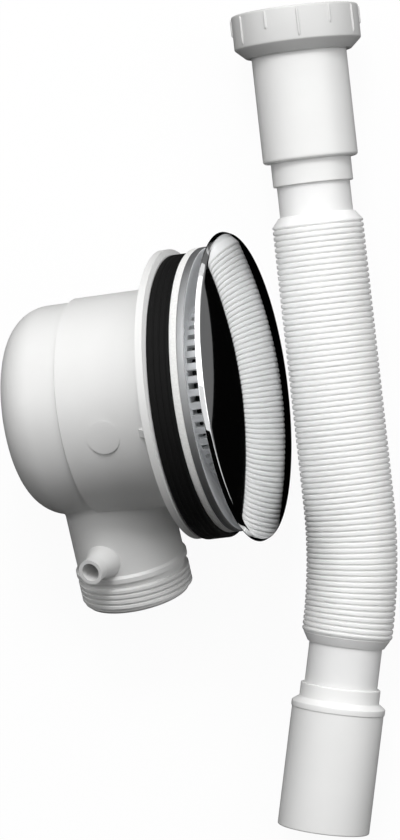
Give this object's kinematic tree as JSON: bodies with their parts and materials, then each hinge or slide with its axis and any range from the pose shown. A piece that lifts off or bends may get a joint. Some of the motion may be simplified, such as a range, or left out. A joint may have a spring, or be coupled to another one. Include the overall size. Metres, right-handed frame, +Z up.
{
  "type": "shower trap with flexible outlet pipe",
  "caption": "Shower trap with a domed chrome cover, rubber tray seal, threaded side outlet and hose nozzle, beside its ribbed flexible outlet pipe with a union nut and a plain spigot.",
  "frame": {"origin": "on the floor, under the middle of the trap and pipe as they lie", "axes": "+Y along the length of the pipe, towards its nut; +X from the trap towards the pipe; +Z up from the floor"},
  "size_m": [0.1674, 0.3558, 0.1282],
  "materials": {
    "white_polypropylene": "moulded, satin",
    "white_polyethylene": "blown concertina, satin",
    "white_foam": "closed-cell foam, matt",
    "black_rubber": "moulded, matt",
    "chrome_plate": "mirror plated over plastic",
    "satin_chrome": "satin plated over plastic"
  },
  "bodies": {
    "trap_and_pipe": {"trap_body": "white_polypropylene", "tray_seal": "black_rubber", "top_gasket": "white_foam", "waste_flange": "satin_chrome", "strainer": "satin_chrome", "dome_cover": "chrome_plate", "dip_tube": "white_polypropylene", "dip_tube_seal": "black_rubber", "nut_washer": "black_rubber", "inlet_sleeve": "white_polypropylene", "flexible_pipe": "white_polyethylene", "outlet_sleeve": "white_polypropylene"},
    "nut": {"coupling_nut": "white_polypropylene"}
  },
  "joints": [
    {"name": "nut_swivel", "type": "hinge", "parent": "trap_and_pipe", "child": "nut", "pos_m": [0.03925, 0.1749, 0.02811], "axis": [0.1114, -0.9935, -0.0238], "continuous": true}
  ]
}
